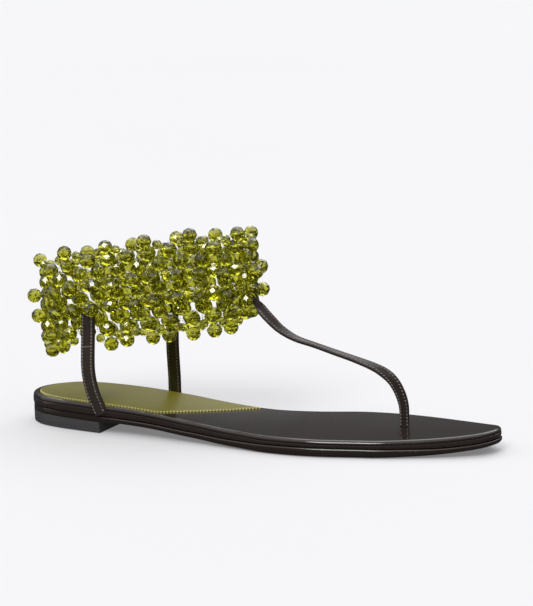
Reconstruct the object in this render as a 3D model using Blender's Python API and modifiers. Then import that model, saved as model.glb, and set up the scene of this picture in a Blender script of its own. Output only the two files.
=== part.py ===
"""Right-foot thong sandal with an ankle cuff woven from glass beads.

Frame: X from heel to toe, Y towards the medial side, Z up from the floor.
Sizes are in millimetres, and MM turns them into the metres of the meshes.
"""
import math

import bmesh
import bpy
import numpy as np
from mathutils import Vector

MM = 0.001
GAP = 0.3                     # clearance between pieces that meet

# Sole: one row for each cross-section of the last, heel to toe.
# Columns: share of the length, offset of the middle towards the medial side, half width,
# height of the insole's top edge, thickness of the insole, thickness of the outsole.
SOLE_LENGTH = 257.0
LAST_COLUMNS = ("share", "centre", "half_width", "seat", "insole", "outsole")
LAST_SECTIONS = (
    (0.000, 5.6, 0.0, 15.0, 5.5, 2.8),
    (0.020, 5.6, 15.0, 15.0, 5.5, 2.8),
    (0.060, 5.4, 23.8, 15.0, 5.5, 2.8),
    (0.120, 4.2, 27.6, 14.9, 5.5, 2.8),
    (0.200, 1.6, 28.8, 14.6, 5.4, 2.8),
    (0.300, -1.3, 28.0, 13.4, 5.2, 2.8),
    (0.400, -4.4, 28.4, 11.2, 5.0, 3.0),
    (0.500, -6.2, 31.0, 9.3, 4.8, 3.4),
    (0.580, -4.9, 36.0, 8.7, 4.6, 3.8),
    (0.680, 0.0, 40.3, 8.7, 4.6, 3.8),
    (0.780, 4.0, 37.2, 8.7, 4.6, 3.8),
    (0.860, 5.2, 30.2, 9.3, 4.6, 3.7),
    (0.920, 5.4, 22.9, 10.2, 4.5, 3.5),
    (0.960, 5.6, 16.6, 11.1, 4.4, 3.3),
    (0.985, 5.8, 11.4, 11.9, 4.3, 3.2),
    (1.000, 6.0, 0.0, 12.4, 4.3, 3.1),
)
OUTLINE_POINTS = 80
HEEL_SHARE = 0.194            # share of the length under the heel block
HEEL_POINTS = 12              # outline points on each side of the heel block
HEEL_TAPER = 1.0
INSOLE_ROLL = 1.6             # rounding of the insole's top edge
OUTSOLE_LIP = 0.3             # outsole stands out past the insole

# Sock: thin leather glued on the heel half of the insole, cut off on a slant.
SOCK_INSET = 2.6
SOCK_THICKNESS = 0.8
SOCK_LATERAL_SHARE = 0.315
SOCK_MEDIAL_SHARE = 0.468
SOCK_RUNGS = 22
SOCK_ACROSS = 6

# Bead cuff: a slack flattened band of beads woven into square cells.
CUFF_CENTRE = (-62.2, 2.0)
CUFF_HALF_LENGTH = 56.3       # at the middle of the wall
CUFF_HALF_WIDTH = 19.0
CUFF_ROUNDNESS = 2.3          # power of the plan's superellipse: 2 is an ellipse, more is blunter
CUFF_HEIGHT = 33.9            # between the middles of the bottom and top bead rows
CUFF_MID_HEIGHT = 70.8        # above the floor, at the middle of its length
CUFF_TILT = 0.189             # rise towards the toe per unit of length
CUFF_ROLL = 0.14              # rise towards the lateral side per unit of width
CUFF_COLUMNS = 22
CUFF_ROWS = 3
CUFF_PHASE = 0.374            # first column of knots, in columns from the front middle
BEAD = 7.1                    # thickness of the woven layer, one bead
HEM = 3.3                     # from the middle of a rim row to the wall's edge
HEM_SHARE = 0.5               # its thickness, from the gaps' rims at 0 to the beads at 1
CELL_RIM = 2.6                # width of the wall left around each gap
CELL_RIM_SHARE = 0.4          # its thickness, as a share of a bead
KNOT_DIMPLE = 2.0             # depth of the hollow inside each knot
KNOB_HEIGHT = 6.0             # raised beads on the outside
KNOB_INSET = 2.6              # foot of a raised bead, inside its knot's face
KNOB_PROFILE = ((1.50, 0.40), (1.35, 0.72), (0.55, 1.00))    # width over the foot, share of height
PICOT_HEIGHT = 7.7            # edge beads, under every other bead of a rim
PICOT_STRIDE = 4              # half columns from one edge bead to the next
PICOT_FIRST = {-1: 3, 2 * CUFF_ROWS + 1: 1}    # first edge bead of the bottom and top hem
PICOT_INSET = 0.8
PICOT_PROFILE = ((0.90, 0.26), (0.70, 0.56), (0.55, 0.82), (0.25, 1.00))

# Straps: flat leather, each path a short list of points up to the cuff.
STRAP_WIDTH = 6.8
STRAP_THICKNESS = 2.2
STRAP_EDGE = 0.5              # chamfer along the strap's edges
THONG_WIDTH = 5.6
THONG_THICKNESS = 2.4
STRAP_STEPS = 3               # sections between two path points
LATERAL_COLUMN = 7.6
MEDIAL_COLUMN = 16.67
THONG_COLUMN = -0.13
SIDE_STRAP_LEVELS = (0.0, 0.11, 0.22)
SIDE_STRAP_TURN = 35.0        # height over which a side strap turns to face out of the cuff
THONG_LEVELS = (0.06, 0.14, 0.22)
NOTCH_WIDTH = 9.0             # of the insole's notch for a side strap's end
# Columns: x, y, z.
LATERAL_PATH = (
    (-76.9, -27.1, 10.2),
    (-78.7, -27.3, 14.5),
    (-81.6, -27.0, 20.6),
    (-84.3, -25.9, 28.5),
    (-85.8, -24.3, 36.6),
)
MEDIAL_PATH = (
    (-59.0, 28.1, 9.3),
    (-59.8, 28.4, 13.5),
    (-60.1, 28.6, 20.4),
    (-60.5, 28.4, 28.2),
    (-60.8, 27.8, 37.7),
)
# Columns: x, y, z and turn in degrees, 90 where the strap stands between the toes.
THONG_PATH = (
    (75.2, 11.9, 4.4, 90.0),
    (75.1, 11.9, 12.2, 90.0),
    (74.6, 11.8, 19.6, 90.0),
    (72.0, 11.3, 27.2, 82.0),
    (67.6, 10.5, 33.4, 68.0),
    (60.5, 9.5, 37.9, 52.0),
    (49.9, 8.2, 41.7, 34.0),
    (39.1, 7.0, 44.9, 20.0),
    (28.9, 5.8, 48.0, 10.0),
    (18.1, 4.8, 52.1, 4.0),
    (10.1, 4.1, 57.1, 0.0),
    (4.3, 3.6, 62.6, 0.0),
)
THONG_SLOT = (7.2, 3.4)       # length and width of the hole in the insole


def smooth_curve(knots, values):
    """A curve through the values that never swings past them."""
    knots = np.asarray(knots, dtype=float)
    values = np.asarray(values, dtype=float)
    steps = np.diff(knots)
    secants = np.diff(values) / steps
    slopes = np.concatenate(([secants[0]], np.zeros(len(steps) - 1), [secants[-1]]))
    for i in range(1, len(steps)):
        before, after = secants[i - 1], secants[i]
        if before * after > 0:
            near = 2 * steps[i] + steps[i - 1]
            far = steps[i] + 2 * steps[i - 1]
            slopes[i] = (near + far) / (near / before + far / after)

    def curve(at):
        at = np.clip(at, knots[0], knots[-1])
        span = np.clip(np.searchsorted(knots, at, side="right") - 1, 0, len(steps) - 1)
        part = (at - knots[span]) / steps[span]
        rise = steps[span] * (slopes[span] * part * (1 - part) ** 2
                              - slopes[span + 1] * part ** 2 * (1 - part))
        ease = part * part * (3 - 2 * part)
        return values[span] * (1 - ease) + values[span + 1] * ease + rise

    return curve


def last_column(name, power=1):
    """One column of the last's table as a smooth curve of the share of length."""
    index = LAST_COLUMNS.index(name)
    return smooth_curve([row[0] for row in LAST_SECTIONS],
                        [row[index] ** power for row in LAST_SECTIONS])


CENTRE = last_column("centre")
HALF_WIDTH_SQUARED = last_column("half_width", 2)   # squared, so that both ends are round
SEAT = last_column("seat")
INSOLE = last_column("insole")
OUTSOLE = last_column("outsole")


def share_of(x):
    """Share of the sole's length at a place along X."""
    return x / SOLE_LENGTH + 0.5


def insole_bottom(share):
    return SEAT(share) - INSOLE(share)


def outsole_top(share):
    return insole_bottom(share) - GAP


def outsole_bottom(share):
    return outsole_top(share) - OUTSOLE(share)


def outline_point(turn):
    """A point of the sole's outline: turn 0 at the heel, pi at the toe, lateral side first."""
    share = (1 - np.cos(turn)) / 2
    half_width = np.sqrt(np.maximum(HALF_WIDTH_SQUARED(share), 0))
    x = (share - 0.5) * SOLE_LENGTH
    y = CENTRE(share) - np.sign(np.sin(turn)) * half_width
    return np.stack((x, y), axis=-1)


def outline(turns, inset):
    """Outline points moved in by an inset, square to the outline."""
    small = 0.01
    along = outline_point(turns + small) - outline_point(turns - small)
    along /= np.linalg.norm(along, axis=-1, keepdims=True)
    inward = np.stack((-along[:, 1], along[:, 0]), axis=-1)
    return outline_point(turns) + inset * inward


def heel_turn(share):
    """The turn around the outline at a share of its length, on the lateral side."""
    return math.acos(1 - 2 * share)


def new_material(name, colour, roughness, metallic=0.0):
    """A plain Principled material from an sRGB hex colour."""
    material = bpy.data.materials.new(name)
    material.use_nodes = True
    shader = material.node_tree.nodes["Principled BSDF"]
    channels = [int(colour[i:i + 2], 16) / 255 for i in (1, 3, 5)]
    linear = [c / 12.92 if c <= 0.04045 else ((c + 0.055) / 1.055) ** 2.4 for c in channels]
    shader.inputs["Base Color"].default_value = (*linear, 1.0)
    shader.inputs["Roughness"].default_value = roughness
    shader.inputs["Metallic"].default_value = metallic
    return material


def new_object(name, mesh, material, collection):
    """Put a mesh in the scene as one named part."""
    part = bpy.data.objects.new(name, mesh)
    collection.objects.link(part)
    if material is not None:
        mesh.materials.append(material)
    mesh.shade_smooth()
    mesh.set_sharp_from_angle(angle=math.radians(35))
    return part


def finish_mesh(name, bm):
    """Turn an edited mesh into a mesh block with its faces pointing out."""
    bmesh.ops.recalc_face_normals(bm, faces=bm.faces[:])
    mesh = bpy.data.meshes.new(name)
    bm.to_mesh(mesh)
    bm.free()
    return mesh


def add_rings(bm, rings):
    """Skin a list of closed rings of points, and return their vertices."""
    loops = [[bm.verts.new(point * MM) for point in ring] for ring in rings]
    for low, high in zip(loops, loops[1:]):
        for i in range(len(low)):
            j = (i + 1) % len(low)
            bm.faces.new((low[i], low[j], high[j], high[i]))
    return loops


def close_ladder(bm, loop):
    """Close a sole-shaped ring with rungs from its lateral to its medial side."""
    count = len(loop)
    bm.faces.new((loop[0], loop[1], loop[-1]))
    for i in range(1, count // 2):
        rung = [loop[i], loop[i + 1], loop[count - i - 1], loop[count - i]]
        if i + 1 == count - i - 1:
            rung.pop(2)
        if i + 1 <= count - i - 1:
            bm.faces.new(rung)


def sole_layer(name, turns, levels, material, collection):
    """A layer of the sole: each level is an inset and a height along the last."""
    rings = []
    for inset, height in levels:
        plan = outline(turns, inset)
        rings.append(np.column_stack((plan, height(share_of(plan[:, 0])))))
    bm = bmesh.new()
    loops = add_rings(bm, rings)
    close_ladder(bm, loops[0])
    close_ladder(bm, loops[-1])
    return new_object(name, finish_mesh(name, bm), material, collection)


def build_sole(collection):
    """Insole, outsole and heel block."""
    around = np.linspace(0, 2 * math.pi, OUTLINE_POINTS, endpoint=False)
    insole = sole_layer("insole", around, (
        (1.0, insole_bottom),
        (0.0, lambda s: insole_bottom(s) + 1.0),
        (0.0, lambda s: SEAT(s) - INSOLE_ROLL),
        (0.3 * INSOLE_ROLL, lambda s: SEAT(s) - 0.3 * INSOLE_ROLL),
        (INSOLE_ROLL, SEAT),
    ), new_material("brown_leather_insole", "#2b211e", 0.38), collection)
    sole_layer("outsole", around, (
        (1.6, outsole_bottom),
        (0.3, lambda s: outsole_bottom(s) + 0.8),
        (-OUTSOLE_LIP, lambda s: outsole_bottom(s) + 1.6),
        (-OUTSOLE_LIP, lambda s: outsole_top(s) - 0.6),
        (0.4, outsole_top),
    ), new_material("brown_leather_outsole", "#241b19", 0.5), collection)
    breast = heel_turn(HEEL_SHARE)
    lateral = np.linspace(0, breast, HEEL_POINTS)
    medial = np.linspace(2 * math.pi - breast, 2 * math.pi, HEEL_POINTS)[:-1]
    sole_layer("heel_block", np.concatenate((lateral, medial)), (
        (HEEL_TAPER + 0.5, lambda s: np.zeros_like(s)),
        (HEEL_TAPER, lambda s: np.full_like(s, 0.5)),
        (0.0, lambda s: outsole_bottom(s) - GAP),
    ), new_material("stacked_heel", "#2d2d2f", 0.45), collection)
    return insole


def build_sock(collection):
    """The heel sock: a thin sheet on the insole, thickened upwards."""
    spread = (1 - np.cos(np.linspace(0.16, math.pi / 2, SOCK_RUNGS))) ** 0.5
    lateral = outline(spread * heel_turn(SOCK_LATERAL_SHARE), SOCK_INSET)
    medial = outline(2 * math.pi - spread * heel_turn(SOCK_MEDIAL_SHARE), SOCK_INSET)
    across = np.linspace(0, 1, SOCK_ACROSS)
    bm = bmesh.new()
    rungs = []
    for left, right in zip(lateral, medial):
        plan = [left + (right - left) * part for part in across]
        rungs.append([bm.verts.new((x * MM, y * MM, (SEAT(share_of(x)) + GAP) * MM))
                      for x, y in plan])
    for low, high in zip(rungs, rungs[1:]):
        for i in range(SOCK_ACROSS - 1):
            bm.faces.new((low[i], high[i], high[i + 1], low[i + 1]))
    for face in bm.faces:
        face.normal_update()
        if face.normal.z < 0:
            face.normal_flip()
    mesh = bpy.data.meshes.new("heel_sock")
    bm.to_mesh(mesh)
    bm.free()
    sock = new_object("heel_sock", mesh, new_material("olive_leather", "#85802f", 0.5), collection)
    shell = sock.modifiers.new("thickness", "SOLIDIFY")
    shell.thickness = SOCK_THICKNESS * MM
    shell.offset = 1.0
    return sock


def signed_power(value, power):
    return np.sign(value) * np.abs(value) ** power


def cuff_plan(angle):
    """Cosine and sine of the cuff's plan, a superellipse: front first, then the lateral side."""
    power = 2 / CUFF_ROUNDNESS
    return signed_power(np.cos(angle), power), signed_power(np.sin(angle), power)


def cuff_angle(column):
    """Angle around the cuff's plan at a column, by length along it."""
    angles = np.linspace(0, 2 * math.pi, 1441)
    cosine, sine = cuff_plan(angles)
    steps = np.hypot(np.diff(cosine) * CUFF_HALF_LENGTH, np.diff(sine) * CUFF_HALF_WIDTH)
    lengths = np.concatenate(([0], np.cumsum(steps)))
    return float(np.interp((column / CUFF_COLUMNS % 1.0) * lengths[-1], lengths, angles))


def cuff_point(column, level, out=0.0):
    """A point of the cuff's wall and its outward normal; level 0 is the bottom row, 1 the top."""
    angle = cuff_angle(column)
    cosine, sine = cuff_plan(angle)
    ahead, aside = CUFF_HALF_LENGTH * cosine, CUFF_HALF_WIDTH * sine
    point = np.array((CUFF_CENTRE[0] + ahead, CUFF_CENTRE[1] - aside,
                      CUFF_MID_HEIGHT + CUFF_TILT * ahead + CUFF_ROLL * aside
                      + CUFF_HEIGHT * (level - 0.5)))
    power = 2 - 2 / CUFF_ROUNDNESS
    normal = np.array((signed_power(math.cos(angle), power) / CUFF_HALF_LENGTH,
                       -signed_power(math.sin(angle), power) / CUFF_HALF_WIDTH, 0.0))
    normal /= np.linalg.norm(normal)
    return point + out * normal, normal


def weave_mesh():
    """The woven layer: a sheet with a vertex on each bead and a gap in each cell.

    Half columns and half rows number a grid. Beads sit where the two numbers add up to an
    odd one, gaps where both are odd, and knots where both are even. A hem, one face to a
    rim bead, takes the sheet on to the outer edge of its rim beads.
    """
    bm = bmesh.new()
    half_column = bm.faces.layers.int.new("half_column")
    half_row = bm.faces.layers.int.new("half_row")
    around, top = 2 * CUFF_COLUMNS, 2 * CUFF_ROWS
    hem_rows = HEM / CUFF_HEIGHT * top

    def new_vert(column, row):
        return bm.verts.new(cuff_point(column / 2 + CUFF_PHASE, row / top)[0] * MM)

    def new_face(column, row, places):
        face = bm.faces.new([verts[c % around, r] for c, r in places])
        face[half_column], face[half_row] = column, row
        return face

    verts = {(column, row): new_vert(column, row)
             for column in range(around) for row in range(top + 1) if (column + row) % 2}
    bead_count = len(verts)
    for column in range(0, around, 2):
        for row, outer in ((0, -1), (top, 1)):
            verts[column, row] = new_vert(column, row)
            verts[column, row + outer] = new_vert(column, row + outer * hem_rows)
    gaps = []
    for column in range(around):
        for row in range(top + 1):
            if (column + row) % 2 == 0:
                face = new_face(column, row, (
                    (column - 1, row), (column, min(row + 1, top)),
                    (column + 1, row), (column, max(row - 1, 0))))
                if row % 2:
                    gaps.append(face)
    for column in range(1, around, 2):
        for row, outer in ((0, -1), (top, 1)):
            new_face(column, row + outer, (
                (column - 1, row), (column, row), (column + 1, row),
                (column + 1, row + outer), (column - 1, row + outer)))
    bmesh.ops.recalc_face_normals(bm, faces=bm.faces[:])
    bmesh.ops.inset_individual(bm, faces=gaps, thickness=CELL_RIM * MM, use_even_offset=True)
    bmesh.ops.delete(bm, geom=gaps, context="FACES_ONLY")
    mesh = bpy.data.meshes.new("weave")
    bm.to_mesh(mesh)
    bm.free()
    return mesh, bead_count, len(verts)


def thicken_weave(collection):
    """Give the woven layer a bead's thickness at the beads and less at the hem and the gaps."""
    mesh, bead_count, hem_count = weave_mesh()
    sheet = bpy.data.objects.new("weave", mesh)
    collection.objects.link(sheet)
    beads = sheet.vertex_groups.new(name="beads")
    beads.add(list(range(bead_count)), 1.0, "REPLACE")
    beads.add(list(range(bead_count, hem_count)), HEM_SHARE, "REPLACE")
    shell = sheet.modifiers.new("thickness", "SOLIDIFY")
    shell.thickness = BEAD * MM
    shell.offset = 0.0
    shell.vertex_group = beads.name
    shell.thickness_vertex_group = CELL_RIM_SHARE
    thick = sheet.evaluated_get(bpy.context.evaluated_depsgraph_get())
    solid = bpy.data.meshes.new_from_object(thick)
    bpy.data.objects.remove(sheet)
    return solid


def raise_bead(bm, face, inset, profile, rise):
    """Draw one faceted bead out of a face: a foot, a swollen belly and a small crown."""
    bmesh.ops.inset_individual(bm, faces=[face], thickness=inset * MM, use_even_offset=True)
    centre = face.calc_center_median()
    foot = [vert.co - centre for vert in face.verts]
    for swell, lift in profile:
        face = bmesh.ops.extrude_discrete_faces(bm, faces=[face])["faces"][0]
        for vert, spoke in zip(face.verts, foot):
            vert.co = centre + spoke * swell + Vector(rise * lift * MM)


def has_picot(column, row):
    """Whether an edge bead hangs from this face of a hem, which no strap may cover."""
    if row not in PICOT_FIRST or column % PICOT_STRIDE != PICOT_FIRST[row]:
        return False
    behind_strap = any(abs((column / 2 + CUFF_PHASE - strap + 1) % CUFF_COLUMNS - 1) < 0.5
                       for strap in (LATERAL_COLUMN, MEDIAL_COLUMN, THONG_COLUMN))
    return row > 0 or not behind_strap


def build_cuff(collection):
    """The bead cuff: one woven wall with its raised beads drawn out of it."""
    solid = thicken_weave(collection)
    bm = bmesh.new()
    bm.from_mesh(solid)
    bmesh.ops.recalc_face_normals(bm, faces=bm.faces[:])
    half_column = bm.faces.layers.int["half_column"]
    half_row = bm.faces.layers.int["half_row"]
    knobs, picots, inside = [], [], []
    for face in bm.faces:
        column, row = face[half_column], face[half_row]
        normal = cuff_point(column / 2 + CUFF_PHASE, 0.0)[1]
        facing = float(np.dot(face.normal, normal))
        if abs(facing) < 0.5 and has_picot(column, row):
            picots.append((face, np.array((0.0, 0.0, math.copysign(PICOT_HEIGHT, row)))))
        elif column % 2 == 0 and row in range(2, 2 * CUFF_ROWS, 2):
            if facing > 0.7:
                knobs.append((face, KNOB_HEIGHT * normal))
            elif facing < -0.7:
                inside.append(face)
    for face, rise in knobs:
        raise_bead(bm, face, KNOB_INSET, KNOB_PROFILE, rise)
    for face, rise in picots:
        raise_bead(bm, face, PICOT_INSET, PICOT_PROFILE, rise)
    bmesh.ops.poke(bm, faces=inside, offset=-KNOT_DIMPLE * MM)
    bpy.data.meshes.remove(solid)
    glass = new_material("peridot_glass", "#93a02c", 0.05)
    return new_object("bead_cuff", finish_mesh("bead_cuff", bm), glass, collection)


def spline(rows):
    """Points along a smooth curve through the rows, a few steps to each span."""
    rows = np.asarray(rows, dtype=float)
    padded = np.vstack((2 * rows[0] - rows[1], rows, 2 * rows[-1] - rows[-2]))
    points = []
    for before, start, end, after in zip(padded, padded[1:], padded[2:], padded[3:]):
        for part in np.arange(STRAP_STEPS) / STRAP_STEPS:
            points.append(0.5 * (2 * start + (end - before) * part
                                 + (2 * before - 5 * start + 4 * end - after) * part ** 2
                                 + (3 * start - before - 3 * end + after) * part ** 3))
    return np.array(points + [rows[-1]])


def strap_section(width, thickness):
    """The strap's cross-section: a flat bar with its long edges taken off."""
    half, deep = width / 2, thickness / 2
    return ((half, deep - STRAP_EDGE), (half - STRAP_EDGE, deep), (STRAP_EDGE - half, deep),
            (-half, deep - STRAP_EDGE), (-half, STRAP_EDGE - deep), (STRAP_EDGE - half, -deep),
            (half - STRAP_EDGE, -deep), (half, STRAP_EDGE - deep))


def build_strap(name, points, facings, width, thickness, material, collection):
    """A flat strap along a path, its broad face turned to the facing at each point."""
    along = np.gradient(points, axis=0)
    along /= np.linalg.norm(along, axis=1, keepdims=True)
    facings = facings - along * np.sum(facings * along, axis=1, keepdims=True)
    facings /= np.linalg.norm(facings, axis=1, keepdims=True)
    across = np.cross(facings, along)
    rings = [[point + a * wide + f * deep for wide, deep in strap_section(width, thickness)]
             for point, a, f in zip(points, across, facings)]
    bm = bmesh.new()
    loops = add_rings(bm, np.array(rings))
    bm.faces.new(loops[0])
    bm.faces.new(loops[-1])
    return new_object(name, finish_mesh(name, bm), material, collection)


def on_cuff(column, levels, thickness):
    """Path points of a strap that lies against the outside of the woven layer."""
    out = (BEAD + thickness) / 2 + GAP
    return [cuff_point(column, level, out)[0] for level in levels]


def build_straps(collection):
    """The two side straps and the thong strap."""
    leather = new_material("brown_leather_strap", "#2a201d", 0.42)
    for name, path, column, side in (("side_strap_lateral", LATERAL_PATH, LATERAL_COLUMN, -1.0),
                                     ("side_strap_medial", MEDIAL_PATH, MEDIAL_COLUMN, 1.0)):
        top = on_cuff(column, SIDE_STRAP_LEVELS, STRAP_THICKNESS)
        points = spline(list(path) + top)
        way_up = np.clip((points[:, 2:] - points[0, 2]) / SIDE_STRAP_TURN, 0, 1)
        facings = (1 - way_up) * (0.0, side, 0.0) + way_up * cuff_point(column, 0.0)[1]
        build_strap(name, points, facings, STRAP_WIDTH, STRAP_THICKNESS, leather.copy(), collection)
    top = [(*point, 0.0) for point in on_cuff(THONG_COLUMN, THONG_LEVELS, THONG_THICKNESS)]
    rows = spline(list(THONG_PATH) + top)
    points, turns = rows[:, :3], np.radians(rows[:, 3:])
    along = np.gradient(points, axis=0)
    along /= np.linalg.norm(along, axis=1, keepdims=True)
    sideways = np.tile((0.0, 1.0, 0.0), (len(points), 1))
    upward = np.cross(along, sideways)
    upward *= np.sign(upward[:, :1] + upward[:, 2:])
    facings = upward * np.cos(turns) - sideways * np.sin(turns)
    build_strap("thong_strap", points, facings, THONG_WIDTH, THONG_THICKNESS, leather.copy(), collection)


def cut_box(part, name, centre, size, cutters):
    """Cut a box-shaped hole out of a part."""
    bm = bmesh.new()
    bmesh.ops.create_cube(bm, size=1.0)
    for vert in bm.verts:
        vert.co = [(c + s * v) * MM for c, s, v in zip(centre, size, vert.co)]
    box = new_object(name, finish_mesh(name, bm), None, cutters)
    box.hide_render = True
    box.display_type = "WIRE"
    cut = part.modifiers.new(name, "BOOLEAN")
    cut.object = box
    cut.operation = "DIFFERENCE"


def cut_insole(insole, cutters):
    """The thong's slot through the insole and the notches for the side straps' ends."""
    x, y, _, _ = THONG_PATH[0]
    tall = 40.0
    cut_box(insole, "thong_slot", (x, y, 0.0), (*THONG_SLOT, tall), cutters)
    for name, path, side in (("notch_lateral", LATERAL_PATH, -1), ("notch_medial", MEDIAL_PATH, 1)):
        middle = (path[0][0] + path[1][0]) / 2
        inner = path[0][1] - side * (STRAP_THICKNESS / 2 + GAP)
        cut_box(insole, name, (middle, inner + side * tall / 2, 0.0),
                (NOTCH_WIDTH, tall, tall), cutters)


def main():
    for leftover in list(bpy.data.objects):
        bpy.data.objects.remove(leftover)
    parts = bpy.data.collections.new("beaded_sandal")
    cutters = bpy.data.collections.new("cutters")
    for collection in (parts, cutters):
        bpy.context.scene.collection.children.link(collection)
    insole = build_sole(parts)
    build_sock(parts)
    build_cuff(parts)
    build_straps(parts)
    cut_insole(insole, cutters)


main()
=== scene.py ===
"""Looks of the beaded thong sandal: leather sole, stitched straps and a cuff of glass beads.

Frame: X from heel to toe, Y towards the medial side, Z up from the floor, as in the CAD.
Sizes are in millimetres, and MM turns them into the metres of the meshes.
"""

import logging
import math
from collections.abc import Callable
from dataclasses import dataclass, field
from enum import Enum

import bpy
import numpy as np
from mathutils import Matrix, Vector
from numpy.typing import NDArray


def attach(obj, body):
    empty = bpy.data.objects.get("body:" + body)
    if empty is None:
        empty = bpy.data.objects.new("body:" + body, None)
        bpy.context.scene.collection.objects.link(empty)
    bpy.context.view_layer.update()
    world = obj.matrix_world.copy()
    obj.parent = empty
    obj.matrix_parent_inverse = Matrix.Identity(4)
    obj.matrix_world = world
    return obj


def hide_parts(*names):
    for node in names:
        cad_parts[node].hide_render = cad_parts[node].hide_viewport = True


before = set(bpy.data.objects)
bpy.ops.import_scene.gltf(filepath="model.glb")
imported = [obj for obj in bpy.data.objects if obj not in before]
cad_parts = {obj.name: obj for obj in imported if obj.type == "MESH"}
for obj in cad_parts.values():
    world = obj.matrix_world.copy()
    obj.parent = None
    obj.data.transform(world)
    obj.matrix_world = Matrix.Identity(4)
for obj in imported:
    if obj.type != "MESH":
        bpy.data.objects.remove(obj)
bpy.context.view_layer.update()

LOG = logging.getLogger("beaded_sandal")
MM = 0.001
BODY = "root"
WHITE = "#fdfdff"
Array = NDArray[np.float64]
Faces = NDArray[np.int64]
Curve = Callable[[Array], Array]
Levels = list[tuple[Curve | float, Curve]]
Linear = tuple[float, float, float, float]


def linear(colour: str) -> Linear:
    """Turn an sRGB hex colour into linear light.

    Args:
        colour: six hex digits after a hash.
    Returns:
        Red, green, blue and an alpha of one.
    """
    channels = [int(colour[i:i + 2], 16) / 255 for i in (1, 3, 5)]
    light = [c / 12.92 if c <= 0.04045 else ((c + 0.055) / 1.055) ** 2.4 for c in channels]
    return (light[0], light[1], light[2], 1.0)


def unit(vectors: Array) -> Array:
    """Vectors divided by their own lengths."""
    return vectors / np.linalg.norm(vectors, axis=-1, keepdims=True)


def square_to(along: Array) -> tuple[Array, Array]:
    """Two directions square to each direction and to each other.

    Args:
        along: unit vectors.
    Returns:
        Two sets of unit vectors; the first is level unless the direction is nearly upright.
    """
    upright = np.abs(along[..., 2:]) >= 0.8
    first = unit(np.cross(along, np.where(upright, (1.0, 0.0, 0.0), (0.0, 0.0, 1.0))))
    return first, np.cross(along, first)


def ramp(value: Array, start: float, end: float) -> Array:
    """A smooth step from 0 at the start to 1 at the end: three squares less two cubes."""
    part = np.clip((value - start) / (end - start), 0.0, 1.0)
    return part * part * (3 - 2 * part)


def smooth_curve(knots: Array, values: Array) -> Curve:
    """A cubic through the values that never swings past them.

    Each knot's slope is the weighted harmonic mean of the chords beside it, or zero where the
    values turn back; between knots the curve is the cubic with those ends and slopes.

    Args:
        knots: rising places.
        values: one value for each knot.
    Returns:
        A function of an array of places.
    """
    steps = np.diff(knots)
    chords = np.diff(values) / steps
    before, after = chords[:-1], chords[1:]
    near, far = 2 * steps[1:] + steps[:-1], steps[1:] + 2 * steps[:-1]
    same_way = before * after > 0
    mean = np.divide(near + far, near / np.where(same_way, before, 1)
                     + far / np.where(same_way, after, 1))
    slopes = np.concatenate((chords[:1], np.where(same_way, mean, 0.0), chords[-1:]))

    def curve(at: Array) -> Array:
        """The cubic's value at each place."""
        at = np.clip(at, knots[0], knots[-1])
        span = np.clip(np.searchsorted(knots, at, side="right") - 1, 0, len(steps) - 1)
        part = (at - knots[span]) / steps[span]
        swing = steps[span] * (slopes[span] * part * (1 - part) ** 2
                               - slopes[span + 1] * part ** 2 * (1 - part))
        blend = ramp(part, 0, 1)
        return values[span] * (1 - blend) + values[span + 1] * blend + swing

    return curve


def lengths_along(points: Array) -> Array:
    """Length along a path up to each of its points."""
    return np.concatenate(([0], np.cumsum(np.linalg.norm(np.diff(points, axis=0), axis=1))))


def rows_at(rows: Array, lengths: Array, places: Array) -> Array:
    """Rows of numbers at places along a path, between the rows at the lengths of its points."""
    return np.column_stack([np.interp(places, lengths, column) for column in rows.T])


def spline(rows: Array, spacing: float, cuts: int = 24) -> Array:
    """Evenly spaced points on the Catmull-Rom curve through the rows.

    Each span is the cubic whose slope at a row is half the step between its two neighbours.

    Args:
        rows: points to pass through; the first three columns are X, Y and Z.
        spacing: wanted distance between points, in millimetres.
        cuts: steps that a span is first cut into, to measure it.
    Returns:
        The points, with as many columns as the rows.
    """
    padded = np.vstack((2 * rows[0] - rows[1], rows, 2 * rows[-1] - rows[-2]))
    spans = (padded[:-3], padded[1:-2], padded[2:-1], padded[3:])
    before, start, end, after = (span[:, None, :] for span in spans)
    part = np.linspace(0, 1, cuts, endpoint=False)[None, :, None]
    fine = 0.5 * (2 * start + (end - before) * part
                  + (2 * before - 5 * start + 4 * end - after) * part ** 2
                  + (3 * start - before - 3 * end + after) * part ** 3)
    fine = np.vstack((fine.reshape(-1, rows.shape[1]), rows[-1:]))
    lengths = lengths_along(fine[:, :3])
    wanted = np.linspace(0, lengths[-1], max(2, round(lengths[-1] / spacing) + 1))
    return rows_at(fine, lengths, wanted)


@dataclass
class Shell:
    """Points of a mesh in millimetres, its faces, and numbers that its material reads."""

    points: Array
    faces: list[Faces]
    marks: dict[str, Array] = field(default_factory=dict)

    @staticmethod
    def joined(shells: list["Shell"]) -> "Shell":
        """Several shells as one, with their faces renumbered.

        Args:
            shells: shells that carry the same marks.
        Returns:
            One shell.
        """
        starts = np.cumsum([0] + [len(shell.points) for shell in shells])
        faces = [block + start for shell, start in zip(shells, starts) for block in shell.faces]
        marks = {name: np.concatenate([shell.marks[name] for shell in shells])
                 for name in shells[0].marks}
        return Shell(np.vstack([shell.points for shell in shells]), faces, marks)


class Shading(Enum):
    """How a piece's faces take the light."""

    SMOOTH = "smooth"
    FACETED = "faceted"


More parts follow.
